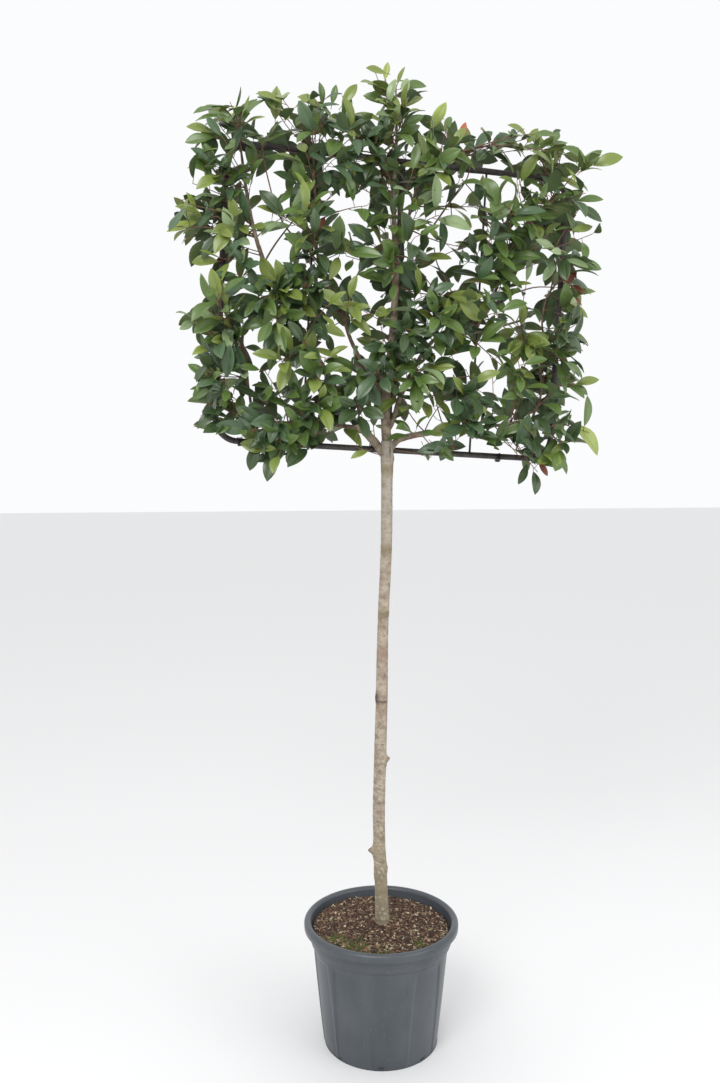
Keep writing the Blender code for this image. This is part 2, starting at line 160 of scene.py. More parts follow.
# Single leaves at the outline: foot (x, z), tip (x, z) and tone
EDGE_LEAVES = (
    (4, 2428, 12, 2470, "lime"), (0, 2430, -52, 2432, "olive"), (18, 2402, -40, 2412, "olive"),
    (14, 2380, -46, 2395, "mid"), (36, 2420, 52, 2458, "olive"), (38, 2404, 106, 2415, "mid"),
    (42, 2362, 102, 2396, "olive"), (38, 2345, -15, 2368, "mid"), (44, 2318, 100, 2345, "mid"),
    (118, 2318, 152, 2376, "lime"), (110, 2325, 146, 2333, "olive"), (186, 2292, 203, 2334, "red"),
    (370, 2308, 308, 2332, "olive"), (368, 2300, 398, 2338, "olive"), (430, 2300, 452, 2332, "mid"),
    (412, 2296, 476, 2305, "mid"), (512, 2238, 553, 2282, "mid"), (532, 2246, 603, 2264, "olive"),
    (452, 2292, 515, 2250, "mid"), (492, 2205, 530, 2188, "olive"), (498, 2160, 566, 2166, "mid"),
    (496, 2150, 556, 2106, "deep"), (482, 2085, 540, 2100, "olive"), (488, 2000, 560, 1990, "mid"),
    (480, 1925, 545, 1934, "olive"), (472, 1900, 530, 1870, "olive"), (470, 1950, 502, 1990, "brown"),
    (474, 1932, 512, 1898, "brown"), (478, 1950, 516, 1925, "brown"), (468, 1832, 532, 1802, "mid"),
    (500, 1702, 560, 1714, "olive"), (502, 1702, 538, 1676, "mid"), (494, 1600, 558, 1520, "lime"),
    (498, 1596, 532, 1580, "mid"), (440, 1520, 476, 1472, "mid"), (384, 1498, 360, 1446, "deep"),
    (394, 1480, 390, 1420, "deep"), (402, 1502, 428, 1468, "brown"), (-360, 2330, -345, 2378, "mid"),
    (-262, 2318, -260, 2388, "olive"), (-155, 2352, -212, 2366, "olive"), (-150, 2355, -160, 2402, "mid"),
    (-128, 2356, -118, 2402, "mid"), (-105, 2352, -68, 2404, "olive"), (-402, 2318, -456, 2306, "mid"),
    (-408, 2280, -472, 2286, "olive"), (-410, 2262, -476, 2248, "mid"), (-412, 2218, -460, 2188, "mid"),
    (-392, 2168, -452, 2132, "olive"), (-436, 2082, -500, 2092, "olive"), (-452, 2090, -474, 2130, "lime"),
    (-448, 2068, -520, 2036, "lime"), (-398, 2040, -440, 1982, "deep"), (-402, 1978, -464, 1974, "olive"),
    (-462, 1840, -502, 1850, "pale"), (-458, 1846, -446, 1878, "pale"), (-460, 1838, -494, 1814, "pale"),
    (-424, 1775, -466, 1756, "lime"), (-414, 1728, -462, 1702, "lime"), (-412, 1702, -466, 1652, "mid"),
    (-398, 1630, -456, 1582, "deep"), (-312, 1548, -332, 1482, "deep"), (-272, 1530, -294, 1456, "deep"),
    (-208, 1560, -240, 1502, "mid"), (-36, 1532, -82, 1512, "lime"), (104, 1545, 116, 1506, "mid"),
    (128, 1552, 182, 1506, "mid"), (-145, 2090, -160, 2060, "brown"),
)

# Leaf tones: the base colours of the upper faces. The dull ones have no gloss. Their lightness is partly the
# leaves' own and partly painted light and shade, as tone_of deals them out by place
TONES = {
    "deep": (0.04, 0.074, 0.024),
    "blue": (0.06, 0.11, 0.048),
    "mid": (0.086, 0.146, 0.031),
    "olive": (0.168, 0.22, 0.044),
    "lime": (0.27, 0.34, 0.07),
    "pale": (0.23, 0.31, 0.15),
    "red": (0.42, 0.11, 0.05),
    "brown": (0.21, 0.058, 0.03),
}
DULL_TONES = ("brown", "red")

# A leaf's grid: points along it, and places across it from edge to edge, with the midrib in the middle
LEAF_ROWS = 9
LEAF_COLUMNS = (-1.0, -0.52, -0.045, 0.045, 0.52, 1.0)

# Shoots: how many on a square metre of panel, the share of them at the tip, their spread as a share of a
# mass, the longest, the points of each, and the turn from leaf to leaf
SHOOTS_PER_METRE = 460
SPARSE_TIP = 0.55
SPREAD = (1.14, 0.86, 1.14)
LONGEST_SHOOT = 0.3
SHOOT_POINTS = 8
GOLDEN = math.radians(137.5)

# A leaf is left out where its distance from a gap's middle, as a share of the gap's half sizes, is under the
# square root of this. Then the middle of the panel (x)
GAP_SHARE = 0.8
PANEL_MIDDLE = 0.04

# Angles round the stem
LEFT, RIGHT, FRONT = math.pi, 0.0, -math.pi / 2

# The stem's mesh, and its relief: depth, stretch, size and seed of each noise
STEM_PIECES = 38
STEM_SIDES = 72
BARK_RELIEF = (
    (0.0007, (1, 1, 7), 1.5, 3),
    (0.00035, (3, 3, 60), 1.2, 4),
    (0.00018, (9, 9, 260), 1.3, 5),
)

# Knots and stubs of the stem: height, angle round it, how tall, how wide (in radians), and how far out
KNOTS = (
    (0.505, LEFT, 0.0075, 0.28, 0.0115), (0.5, LEFT, 0.018, 0.5, 0.004), (0.744, RIGHT, 0.007, 0.32, 0.008),
    (0.74, RIGHT, 0.018, 0.6, 0.0025), (0.735, FRONT - 0.4, 0.01, 0.4, 0.0022),
    (0.632, FRONT - 0.2, 0.008, 0.4, 0.0018), (0.455, RIGHT, 0.012, 0.5, 0.003),
    (0.44, LEFT, 0.014, 0.5, 0.0022), (0.905, LEFT, 0.012, 0.5, 0.0022), (1.02, FRONT, 0.012, 0.6, 0.001),
    (1.12, FRONT + 0.8, 0.012, 0.8, 0.0012), (1.285, FRONT, 0.012, 0.9, 0.001),
    (1.48, FRONT + 0.6, 0.014, 0.9, 0.0016), (1.512, FRONT + 1.0, 0.012, 0.4, 0.003),
    (0.32, FRONT, 0.005, 3.0, 0.0012), (0.686, RIGHT - 0.3, 0.008, 0.15, -0.0022),
)

# Black scars, olive bands and brown bands of the stem, in the same way, and how strongly each shows
SCARS = (
    (0.908, LEFT, 0.012, 0.8, 1.0), (0.895, FRONT, 0.0035, 2.5, 0.8), (0.692, RIGHT - 0.3, 0.009, 0.12, 1.0),
    (0.744, RIGHT, 0.003, 0.12, 0.8), (1.532, FRONT + 0.3, 0.014, 0.13, 1.0), (0.508, LEFT, 0.004, 0.15, 0.7),
    (0.322, FRONT, 0.0025, 5, 0.45), (1.51, FRONT + 1.0, 0.006, 0.3, 0.5),
    (0.733, FRONT - 0.4, 0.004, 0.4, 0.35), (0.632, FRONT - 0.2, 0.003, 0.4, 0.35),
)
OLIVE_BANDS = ((1.12, FRONT, 0.01, 9, 1.0), (1.283, FRONT, 0.012, 9, 1.0), (1.485, FRONT, 0.014, 9, 1.0))
BROWN_BANDS = ((1.018, FRONT, 0.014, 9, 1.0), (0.885, FRONT, 0.03, 9, 0.5))

# Tints of the bark, each laid over the one before
BARK_TINTS = {
    "green": (0.235, 0.2, 0.118),
    "grey": (0.345, 0.325, 0.275),
    "brown": (0.27, 0.165, 0.115),
    "spots": (0.48, 0.43, 0.33),
    "olive": (0.19, 0.155, 0.08),
    "scar": (0.02, 0.016, 0.014),
}

# Boughs: the gap to the frame, the pieces between two points, and the thickness (mm) over which bark is pale
TOUCH = 0.0003
LIMB_PIECES = 10
STOUT_LIMB = 14

# Bars of the frame: name, place as a share of its width, and thickness
FRAME_BARS = (("middle", 0.0, MIDDLE_TUBE), ("rod_left", -0.25, ROD), ("rod_right", 0.25, ROD))

# Tape on the frame's top: its middle (x), its reach to each side, and how thick it is
WRAPS = ((0.225, 0.05, 1.0), (0.43, 0.035, 0.8))
WRAPS_ABOVE = 2.1

# Ties: the place (x, z) of each, whether its bar is level, and how far it swings from the bar's middle
TIES = (
    (-0.405, 1.7, False, 0.01), (-0.352, 1.553, True, 0.01), (0.31, 1.515, True, 0.01),
    (-0.168, 2.152, False, 0.006), (0.248, 2.16, False, 0.006), (0.206, 2.226, True, 0.0105),
    (0.436, 2.214, True, 0.0105), (-0.02, 1.541, True, 0.0095), (0.24, 1.88, False, 0.006),
    (0.04, 2.06, False, 0.01), (-0.392, 1.985, False, 0.01),
)
TIE_TURNS = 3.2
TIE_LENGTH = 0.011

# Loose ends of cord: the (x, z) points of each
LOOSE_ENDS = (
    ((0.105, 2.055), (0.13, 2.09), (0.172, 2.15), (0.212, 2.204)),
    ((0.174, 2.152), (0.176, 2.13), (0.177, 2.092)),
    ((0.13, 2.09), (0.122, 2.092), (0.113, 2.096)),
    ((0.203, 2.205), (0.222, 2.186), (0.242, 2.164)),
    ((-0.03, 1.53), (-0.014, 1.528), (0.002, 1.526)),
)

# Pot: radii and heights of its profile, in order from the inside's floor over the lip to the underside
POT_SIDES = 400
POT_FLOOR = ((0.0, 0.0052), (0.14, 0.0052))
INSIDE_FOOT = (0.1455, 0.007)
INSIDE_NECK = ((0.1785, 0.3), (0.1803, 0.308))
LIP_MIDDLE = (0.1905, 0.3135)
LIP_BEAD = 0.0095
UNDER_LIP = (
    (0.1995, 0.3035), (0.1985, 0.3022), (0.187, 0.302), (0.1852, 0.3), (0.1838, 0.285), (0.1822, 0.27),
    (0.1812, 0.2672), (0.178, 0.266),
)
WALL_TOP_RADIUS = 0.1765
FOOT_RADIUS = 0.149
POT_UNDERSIDE = ((0.1475, 0.0), (0.135, 0.0), (0.13, 0.0025), (0.0, 0.0025))

# The pot's ribs, the panels between them, and the notches at its foot
RIBS = 10
RIB_TURN = math.radians(-76)
PANEL_TOP = 0.25
PANEL_DEPTH = 0.0028
NOTCH_TURN = 1.773
NOTCH_DEPTH = 0.0045

# Soil: its height at the stem, the (radius, height) points of the plug under it, and what lies on it
SOIL_TOP = 0.307
SOIL_RADIUS = 0.176
SOIL_SPOKES = 220
SOIL_PLUG = ((0.1765, 0.29), (0.17, 0.25), (0.15, 0.06), (0.145, 0.008), (0.0, 0.008))
LITTER_RADIUS = 0.172

# Chips: name, colour, roughness and share of each kind
CHIP_FINISHES = (
    ("dark", (0.045, 0.028, 0.02), 0.9, 0.34), ("brown", (0.115, 0.068, 0.042), 0.88, 0.32),
    ("red", (0.165, 0.08, 0.052), 0.88, 0.14), ("tan", (0.29, 0.205, 0.12), 0.85, 0.13),
    ("pale", (0.5, 0.425, 0.29), 0.8, 0.07),
)

# Moss: the middle (x, y) of each patch, its spread and its share of the blades
MOSS_PATCHES = (
    (-0.085, -0.105, 0.038, 0.45), (-0.13, -0.06, 0.026, 0.25), (0.075, -0.115, 0.02, 0.15),
    (-0.02, -0.148, 0.02, 0.15),
)

# Leaf stalks: the colour of each kind
STALK_COLOURS = {"leaf_stalk": (0.2, 0.105, 0.048), "red_stalk": (0.25, 0.062, 0.038)}

# Finishes shared by several materials
COAT_ROUGHNESS = 0.25
GRAIN_DEPTH = 0.001
DARK_UNDER, LIGHT_OVER = 0.34, 0.66
FLECK_STEEPNESS = 16.0
NO_FLECK = ((0.5, 0.5, 0.5), 50.0, 1.0)
MOTTLE_INPUTS = (
    ("NodeSocketVector", ("Vector",)),
    ("NodeSocketColor", ("Dark", "Light", "Fleck")),
    ("NodeSocketFloat", ("Scale", "Fleck Scale", "Fleck Level", "Grain Scale")),
)

# Noise: how many sine waves make it
WAVES = 14


def ripple(points, size, seed):
    """Smooth noise: 2.2 times the mean of 14 sine waves in seeded directions, kept within -1 and 1.

    The waves are from two thirds of size to five thirds of it long.
    """
    rng = np.random.default_rng(seed)
    ways = rng.normal(size=(WAVES, 3))
    lengths = np.linalg.norm(ways, axis=1, keepdims=True)
    ways *= 2 * math.pi / size * rng.uniform(0.6, 1.5, (WAVES, 1)) / lengths
    starts = rng.uniform(0, 2 * math.pi, WAVES)
    return np.clip(np.sin(points @ ways.T + starts).mean(axis=-1) * 2.2, -1, 1)


def unit(vectors):
    """Vectors divided by their lengths."""
    return vectors / np.maximum(np.linalg.norm(vectors, axis=-1, keepdims=True), 1e-9)


def soft_step(value, edge, softness):
    """From 0 to 1 across the edge: 1 over 1 plus e to the minus (value less edge) over softness."""
    return 1 / (1 + np.exp(-(value - edge) / softness))


def smooth_course(stations, pieces):
    """Points on the Catmull-Rom curve through the stations, with this many pieces between each two."""
    run = np.asarray(stations, float)
    run = np.vstack([2 * run[0] - run[1], run, 2 * run[-1] - run[-2]])
    t = np.linspace(0, 1, pieces, endpoint=False)[None, :, None]
    before, start, end, after = run[:-3, None], run[1:-2, None], run[2:-1, None], run[3:, None]
    cubic = 2 * start + (end - before) * t + (2 * before - 5 * start + 4 * end - after) * t**2
    cubic = 0.5 * (cubic + (3 * start - 3 * end + after - before) * t**3)
    return np.vstack([cubic.reshape(-1, run.shape[1]), run[-2:-1]])


def round_angles(sides):
    """Even angles once round a circle."""
    return np.arange(sides) * 2 * math.pi / sides


def add_object(name, data):
    """A new object in the scene."""
    made = bpy.data.objects.new(name, data)
    bpy.context.scene.collection.objects.link(made)
    return made


def surface(name, points, blocks, materials, tones=None, smooth=True):
    """A mesh piece from its points and its blocks of faces.

    Each block has one row of corner numbers per face. Where tones are given, each is one material number per
    face of a block.
    """
    mesh = bpy.data.meshes.new(name)
    points = np.asarray(points, np.float32).reshape(-1, 3)
    corners = np.concatenate([block.reshape(-1) for block in blocks]).astype(np.int32)
    sizes = np.concatenate([np.full(len(block), block.shape[1]) for block in blocks])
    starts = np.concatenate([[0], np.cumsum(sizes)[:-1]]).astype(np.int32)
    mesh.vertices.add(len(points))
    mesh.vertices.foreach_set("co", points.ravel())
    mesh.loops.add(len(corners))
    mesh.loops.foreach_set("vertex_index", corners)
    mesh.polygons.add(len(starts))
    mesh.polygons.foreach_set("loop_start", starts)
    if tones is not None:
        mesh.polygons.foreach_set("material_index", np.concatenate(tones).astype(np.int32))
    mesh.polygons.foreach_set("use_smooth", np.full(len(starts), smooth))
    mesh.update(calc_edges=True)
    mesh.validate()
    piece = add_object(name, mesh)
    for material in materials:
        mesh.materials.append(material)
    return piece


def grid_faces(rows, columns, closed=False, copies=1):
    """Quads of a grid of points, closed round its columns or not, for several copies in a row."""
    i, j = np.meshgrid(np.arange(rows - 1), np.arange(columns if closed else columns - 1), indexing="ij")
    following = (j + 1) % columns
    near, far = i * columns, (i + 1) * columns
    quads = np.stack([near + j, far + j, far + following, near + following], -1)
    quads = quads.reshape(1, -1, 4) + (np.arange(copies) * rows * columns)[:, None, None]
    return quads.reshape(-1, 4)


def tube_shells(paths, radii, sides):
    """Round closed shells along many paths of equal length.

    At each path point a circle of its radius lies across the path. Its angle starts at the line square to
    the path and to the axis that the path follows least. Gives the points, one grid per path, and the faces:
    the walls and the two end caps.
    """
    paths = np.asarray(paths, float)
    along = unit(np.gradient(paths, axis=1))
    reference = np.eye(3)[np.argmin(np.abs(along.mean(axis=1)), axis=1)][:, None]
    side = unit(np.cross(along, reference))
    up = np.cross(side, along)
    angle = round_angles(sides)
    ring = np.cos(angle)[:, None] * side[:, :, None] + np.sin(angle)[:, None] * up[:, :, None]
    points = paths[:, :, None] + np.asarray(radii)[:, :, None, None] * ring
    count, rows = paths.shape[:2]
    walls = grid_faces(rows, sides, closed=True, copies=count)
    first = np.arange(count)[:, None] * rows * sides + np.arange(sides)
    last = (first + (rows - 1) * sides)[:, ::-1]
    return points, [walls, np.vstack([first, last])]


def revolve(radius, height):
    """Points of a turned shell: a grid's radii and heights, each row carried once round Z."""
    angle = round_angles(radius.shape[1])
    return np.stack([radius * np.cos(angle), radius * np.sin(angle), height], -1)


def set_sockets(node, values):
    """Sets each named input of a node to its value."""
    for name, value in values.items():
        node.inputs[name].default_value = value


def plain(name, colour, roughness, coat=0.0):
    """A finish of one colour, with or without a clear coat."""
    made = bpy.data.materials.new(name)
    made.use_nodes = True
    shader = made.node_tree.nodes["Principled BSDF"]
    set_sockets(shader, {"Base Color": (*colour, 1.0), "Roughness": roughness})
    set_sockets(shader, {"Coat Weight": coat, "Coat Roughness": COAT_ROUGHNESS})
    return made


def mix_colours(tree, share, first, second=None):
    """A node that mixes two colours by a share. Without a second colour its socket is left to be set."""
    made = tree.nodes.new("ShaderNodeMix")
    made.data_type = "RGBA"
    tree.links.new(share, made.inputs[0])
    tree.links.new(first, made.inputs[6])
    if second:
        tree.links.new(second, made.inputs[7])
    return made


def make_mottle_group():
    """Bark, soil, plastic and paint: two colours by soft noise, sparse flecks of a third, and a fine grain.

    Its colour is the dark one where the noise is under 0.34, the light one where it is over 0.66, and the
    fleck colour where a second noise passes the fleck level. Its height is a third noise, for a bump.
    """
    group = bpy.data.node_groups.new("mottle", "ShaderNodeTree")
    for kind, names in MOTTLE_INPUTS:
        for name in names:
            group.interface.new_socket(name, in_out="INPUT", socket_type=kind)
    group.interface.new_socket("Color", in_out="OUTPUT", socket_type="NodeSocketColor")
    group.interface.new_socket("Height", in_out="OUTPUT", socket_type="NodeSocketFloat")
    nodes, links = group.nodes, group.links
    given, result = nodes.new("NodeGroupInput"), nodes.new("NodeGroupOutput")

    def noise(scale, detail):
        """Noise at the scale that an input gives."""
        made = nodes.new("ShaderNodeTexNoise")
        set_sockets(made, {"Detail": detail, "Roughness": 0.6})
        links.new(given.outputs["Vector"], made.inputs["Vector"])
        links.new(given.outputs[scale], made.inputs["Scale"])
        return made.outputs["Fac"]

    spread = nodes.new("ShaderNodeMapRange")
    set_sockets(spread, {"From Min": DARK_UNDER, "From Max": LIGHT_OVER})
    links.new(noise("Scale", 6.0), spread.inputs["Value"])
    above = nodes.new("ShaderNodeMath")
    above.operation = "SUBTRACT"
    links.new(noise("Fleck Scale", 2.0), above.inputs[0])
    links.new(given.outputs["Fleck Level"], above.inputs[1])
    steep = nodes.new("ShaderNodeMath")
    steep.operation = "MULTIPLY"
    steep.use_clamp = True
    steep.inputs[1].default_value = FLECK_STEEPNESS
    links.new(above.outputs[0], steep.inputs[0])
    ground = mix_colours(group, spread.outputs["Result"], given.outputs["Dark"], given.outputs["Light"])
    flecked = mix_colours(group, steep.outputs[0], ground.outputs[2], given.outputs["Fleck"])
    links.new(flecked.outputs[2], result.inputs["Color"])
    links.new(noise("Grain Scale", 5.0), result.inputs["Height"])


def mottled(name, dark, light, roughness, scale, grain, fleck, stretch=(1, 1, 1)):
    """A finish from the mottle group in object space, stretched by the three factors.

    The grain is the strength and the scale of a fine bump. The fleck is a colour, a scale and a level.
    """
    made = plain(name, light, roughness)
    nodes, links = made.node_tree.nodes, made.node_tree.links
    shader = nodes["Principled BSDF"]
    place = nodes.new("ShaderNodeTexCoord")
    mapping = nodes.new("ShaderNodeMapping")
    mapping.inputs["Scale"].default_value = stretch
    links.new(place.outputs["Object"], mapping.inputs["Vector"])
    mottle = nodes.new("ShaderNodeGroup")
    mottle.node_tree = bpy.data.node_groups["mottle"]
    set_sockets(mottle, {"Dark": (*dark, 1.0), "Light": (*light, 1.0), "Fleck": (*fleck[0], 1.0)})
    set_sockets(mottle, {"Scale": scale, "Fleck Scale": fleck[1], "Fleck Level": fleck[2]})
    set_sockets(mottle, {"Grain Scale": grain[1]})
    links.new(mapping.outputs["Vector"], mottle.inputs["Vector"])
    links.new(mottle.outputs["Color"], shader.inputs["Base Color"])
    relief = nodes.new("ShaderNodeBump")
    set_sockets(relief, {"Strength": grain[0], "Distance": GRAIN_DEPTH})
    links.new(mottle.outputs["Height"], relief.inputs["Height"])
    links.new(relief.outputs["Normal"], shader.inputs["Normal"])
    return made


def tint(material, attribute, colour):
    """Lays a colour over a mottled finish where an attribute of the mesh says so."""
    tree = material.node_tree
    base = tree.nodes["Principled BSDF"].inputs["Base Color"]
    share = tree.nodes.new("ShaderNodeAttribute")
    share.attribute_name = attribute
    mix = mix_colours(tree, share.outputs["Fac"], base.links[0].from_socket)
    mix.inputs[7].default_value = (*colour, 1.0)
    tree.links.new(mix.outputs[2], base)


def give(piece, attribute, values):
    """Stores one number from 0 to 1 per vertex of a piece."""
    layer = piece.data.attributes.new(attribute, "FLOAT", "POINT")
    layer.data.foreach_set("value", np.clip(values, 0, 1).astype(np.float32).ravel())


def bumps(z, angle, places):
    """The sum of rounded bumps on the stem.

    Each place has a height, an angle round the stem, how tall and how wide the bump is, and how much it adds:
    that much times e to the minus (height off over tall) squared, less (angle off over wide) squared.
    """
    total = 0.0
    for height, turn, tall, wide, much in places:
        apart = np.angle(np.exp(1j * (angle - turn)))
        total = total + much * np.exp(-((z - height) / tall) ** 2 - (apart / wide) ** 2)
    return total


def bark_shares(z, angle, around):
    """How far each tint covers the bark: bands and scars by place, the rest by height and noise."""
    rough = 0.5 + 0.5 * ripple(around * (3, 3, 40), 1.4, 9)
    fine = ripple(around * (2, 2, 110), 1.3, 10)
    return {
        "scar": bumps(z, angle, SCARS),
        "olive": bumps(z, angle, OLIVE_BANDS) * (0.5 + 0.5 * rough),
        "brown": bumps(z, angle, BROWN_BANDS) * (0.4 + 0.6 * rough),
        "grey": np.clip((z - 1.15) / 0.25, 0, 1) * rough * 0.8,
        "green": np.clip((0.62 - z) / 0.2, 0, 1) * (0.35 + 0.5 * rough),
        "spots": 0.8 * np.clip((fine - 0.5) * 5, 0, 1) * np.clip((1.1 - z) / 0.5, 0.25, 1),
    }


def make_trunk():
    """The clear stem with its bark.

    Round it, the radius is half of the station's thickness, plus long shallow ridges, cracks across it, a
    fine grain, and the knots and stubs where side shoots were cut.
    """
    course = smooth_course(np.array(TRUNK_STATIONS)[:, (0, 2, 1)] / 1000, STEM_PIECES)
    z = np.repeat(course[:, 2:3], STEM_SIDES, axis=1)
    angle = np.broadcast_to(round_angles(STEM_SIDES), z.shape)
    around = np.stack([np.cos(angle), np.sin(angle), z], -1)
    radius = np.repeat(course[:, 1:2] / 2, STEM_SIDES, axis=1)
    for depth, stretch, size, seed in BARK_RELIEF:
        radius = radius + depth * ripple(around * stretch, size, seed)
    radius = radius + bumps(z, angle, KNOTS)
    points = np.stack([course[:, :1] + radius * np.cos(angle), radius * np.sin(angle), z], -1)
    walls = grid_faces(len(course), STEM_SIDES, closed=True)[:, ::-1]
    first = np.arange(STEM_SIDES)[None, ::-1]
    last = first[:, ::-1] + (len(course) - 1) * STEM_SIDES
    bark = mottled("pale_bark", (0.215, 0.165, 0.122), (0.43, 0.365, 0.288), 0.82, 48, (0.8, 420),
                   ((0.15, 0.105, 0.07), 150, 0.6), (1, 1, 1.6))
    trunk = surface("trunk_bark", points, [walls, first, last], [bark])
    shares = bark_shares(z, angle, around)
    for name, colour in BARK_TINTS.items():
        tint(bark, name, colour)
        give(trunk, name, shares[name])
    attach(trunk, "root")
    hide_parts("trunk")


def limb_path(course, base, tip):
    """A bough's centre line, against the frame's front, and its radii.

    Its thickness falls from base to tip with the 0.8th power of the share of its length that is left.
    """
    flat = smooth_course(np.array(course) / 1000, LIMB_PIECES)
    base, tip = base / 1000, tip / 1000
    left = 1 - np.arange(len(flat)) / (len(flat) - 1)
    radii = (tip + (base - tip) * left**0.8) / 2
    return np.stack([flat[:, 0], FRAME_FRONT - TOUCH - radii, flat[:, 1]], -1), radii


def make_boughs():
    """Each bough as a round shell, its radius swelled or shrunk by up to a sixth by two noises."""
    pale = mottled("bough_bark", (0.15, 0.108, 0.074), (0.38, 0.31, 0.225), 0.8, 60, (0.5, 500), NO_FLECK)
    brown = mottled("thin_bark", (0.095, 0.058, 0.04), (0.24, 0.165, 0.112), 0.75, 80, (0.4, 500), NO_FLECK)
    for name, (course, base, tip) in LIMBS.items():
        stout = base > STOUT_LIMB
        path, radii = limb_path(course, base, tip)
        points, blocks = tube_shells(path[None], radii[None], 20 if stout else 12)
        middle = path[None, :, None]
        swell = 1 + 0.09 * ripple(points, 0.016, 21) + 0.07 * ripple(points, 0.006, 22)
        points = middle + (points - middle) * swell[..., None]
        bough = surface(name + "_bark", points, blocks, [pale if stout else brown])
        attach(bough, "root")
        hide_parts(name)


def on_frame(along, up):
    """Points of the frame's plane, from its middle: along its width and up its height, turned by its lean."""
    x = FRAME_MIDDLE[0] + along * math.cos(FRAME_LEAN) + up * math.sin(FRAME_LEAN)
    z = FRAME_MIDDLE[1] - along * math.sin(FRAME_LEAN) + up * math.cos(FRAME_LEAN)
    return np.stack([x, np.full_like(x, FRAME_DEPTH), z], -1)


def ring_course():
    """The closed line round the frame: a quarter circle at each corner, and straight runs between."""
    half = np.array((FRAME_WIDTH / 2 - FRAME_CORNER, FRAME_HEIGHT / 2 - FRAME_CORNER))
    corners = np.array(((1, 1), (-1, 1), (-1, -1), (1, -1))) * half
    share = np.linspace(0, 1, 42)[1:-1, None]
    parts = []
    for number, corner in enumerate(corners):
        angle = np.linspace(0, math.pi / 2, 13) + number * math.pi / 2
        arc = corner + FRAME_CORNER * np.stack([np.cos(angle), np.sin(angle)], -1)
        reach = FRAME_CORNER * np.array((math.cos(angle[-1]), math.sin(angle[-1])))
        end = corners[(number + 1) % 4] + reach
        parts += [arc, arc[-1] + (end - arc[-1]) * share]
    along, up = np.concatenate(parts).T
    return on_frame(along, up)


def make_ring(paint):
    """The frame's ring: a circle carried along its course, thicker and rougher under wraps of tape."""
    loop = ring_course()
    rows, sides = len(loop), 18
    depth_way = np.array((0.0, 1.0, 0.0))
    heading = unit(np.roll(loop, -1, axis=0) - np.roll(loop, 1, axis=0))
    outward = np.cross(heading, depth_way)
    angle = round_angles(sides)
    ring = np.cos(angle)[:, None] * outward[:, None] + np.sin(angle)[:, None] * depth_way
    wrapped = np.zeros(rows)
    for x, reach, much in WRAPS:
        wrapped += much * np.exp(-((loop[:, 0] - x) / reach) ** 4) * (loop[:, 2] > WRAPS_ABOVE)
    radii = TUBE / 2 * (1 + 0.1 * wrapped)
    points = loop[:, None] + radii[:, None, None] * ring
    swell = 1 + 0.03 * ripple(points, 0.02, 31) + 0.1 * wrapped[:, None] * ripple(points, 0.008, 32)
    points = loop[:, None] + (points - loop[:, None]) * swell[..., None]
    quads = grid_faces(rows + 1, sides, closed=True) % (rows * sides)
    tube = surface("trellis_ring", points, [quads], [paint])
    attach(tube, "root")
    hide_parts("frame_top", "frame_right", "frame_bottom", "frame_left")


def make_trellis():
    """The painted frame: its ring, and a middle tube and two rods as round bars from top to bottom."""
    paint = mottled("frame_paint", (0.022, 0.017, 0.015), (0.06, 0.05, 0.046), 0.55, 60, (0.5, 500),
                    ((0.15, 0.1, 0.07), 120, 0.66))
    make_ring(paint)
    reach = FRAME_HEIGHT / 2 - TUBE / 2
    up = np.linspace(-reach, reach, 60)
    for name, place, width in FRAME_BARS:
        path = on_frame(np.full_like(up, place * FRAME_WIDTH), up)
        points, blocks = tube_shells(path[None], np.full((1, len(up)), width / 2), 14)
        bar = surface("trellis_" + name, points, blocks, [paint])
        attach(bar, "root")
        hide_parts("frame_" + name)


def make_ties():
    """Black cord ties and their loose ends.

    A tie is a helix round a bar at a place (x, z): level along a level bar, or upright along an upright one.
    It swings a quarter wider at its end. A loose end is a thin tube on a smooth line in front of the panel.
    """
    black = plain("black_cord", (0.012, 0.012, 0.013), 0.6)
    t = np.linspace(0, 1, 46)
    turn = t * TIE_TURNS * 2 * math.pi
    run = (t - 0.5) * TIE_LENGTH
    paths = []
    for x, z, level, reach in TIES:
        swing = reach * (1 + 0.25 * np.clip(t - 0.86, 0, 1) / 0.14)
        across, depth = swing * np.cos(turn), swing * np.sin(turn)
        first, second = (run, across) if level else (across, run)
        paths.append(np.stack([x + first, FRAME_DEPTH + depth - 0.001, z + second], -1))
    points, blocks = tube_shells(np.array(paths), np.full((len(TIES), len(t)), 0.0014), 7)
    made = [surface("frame_ties", points, blocks, [black])]
    for number, course in enumerate(LOOSE_ENDS):
        flat = smooth_course(course, 6)
        path = np.stack([flat[:, 0], np.full(len(flat), 0.004), flat[:, 1]], -1)
        points, blocks = tube_shells(path[None], np.full((1, len(flat)), 0.0013), 7)
        made.append(surface(f"loose_end_{number}", points, blocks, [black]))
    for piece in made:
        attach(piece, "root")


def panel_relief(angle, z):
    """How far the pot's wall is drawn in at an angle and height.

    It is 2.8 mm over the panels between ten ribs, which widen with the square of the height, up to a level
    line under the collar. Eight notches at the foot go 4.5 mm deep.
    """
    apart = np.abs(np.angle(np.exp(1j * (angle - RIB_TURN) * RIBS))) / RIBS
    rib = 0.022 + 0.055 * np.clip(z / 0.25, 0, 1) ** 2
    panel = soft_step(apart, rib, 0.006) * soft_step(-z, -PANEL_TOP, 0.0022)
    notch = np.exp(-(z / 0.008) ** 4) * (np.cos(8 * (angle + NOTCH_TURN)) > 0.93)
    return PANEL_DEPTH * panel + NOTCH_DEPTH * notch


